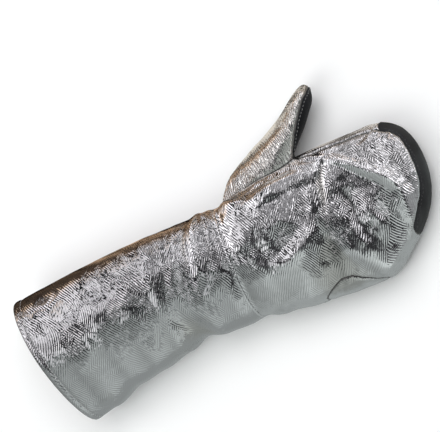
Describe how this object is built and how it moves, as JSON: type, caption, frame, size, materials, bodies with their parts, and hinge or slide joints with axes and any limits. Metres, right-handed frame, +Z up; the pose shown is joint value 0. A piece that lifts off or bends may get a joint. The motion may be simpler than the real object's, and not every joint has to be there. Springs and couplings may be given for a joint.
{
  "type": "aluminized heat mitt",
  "caption": "Gauntlet mitt for hot work: aluminized back, thumb back and long cuff, black leather palm, thumb front and fingertip band. It lies on its palm, creased as if by use.",
  "frame": {"origin": "on the surface that the mitt lies on, under the middle of its bounding box", "axes": "+X from the cuff to the fingertips, +Y towards the thumb, +Z up, out of the back of the hand"},
  "size_m": [0.409, 0.2014, 0.0765],
  "materials": {
    "aluminized_cloth": "aluminized film over ribbed cloth, mirror-bright and crinkled",
    "leather": "black split leather, matt",
    "welt": "thin folded aluminized strip"
  },
  "bodies": {
    "root": {"palm": "leather", "hand_back": "aluminized_cloth", "index_gusset": "aluminized_cloth", "fingertip_band": "leather", "ulnar_gusset": "aluminized_cloth", "thumb_back": "aluminized_cloth", "palm_welt": "welt", "thumb_welt": "welt", "cuff": "aluminized_cloth"}
  },
  "joints": []
}
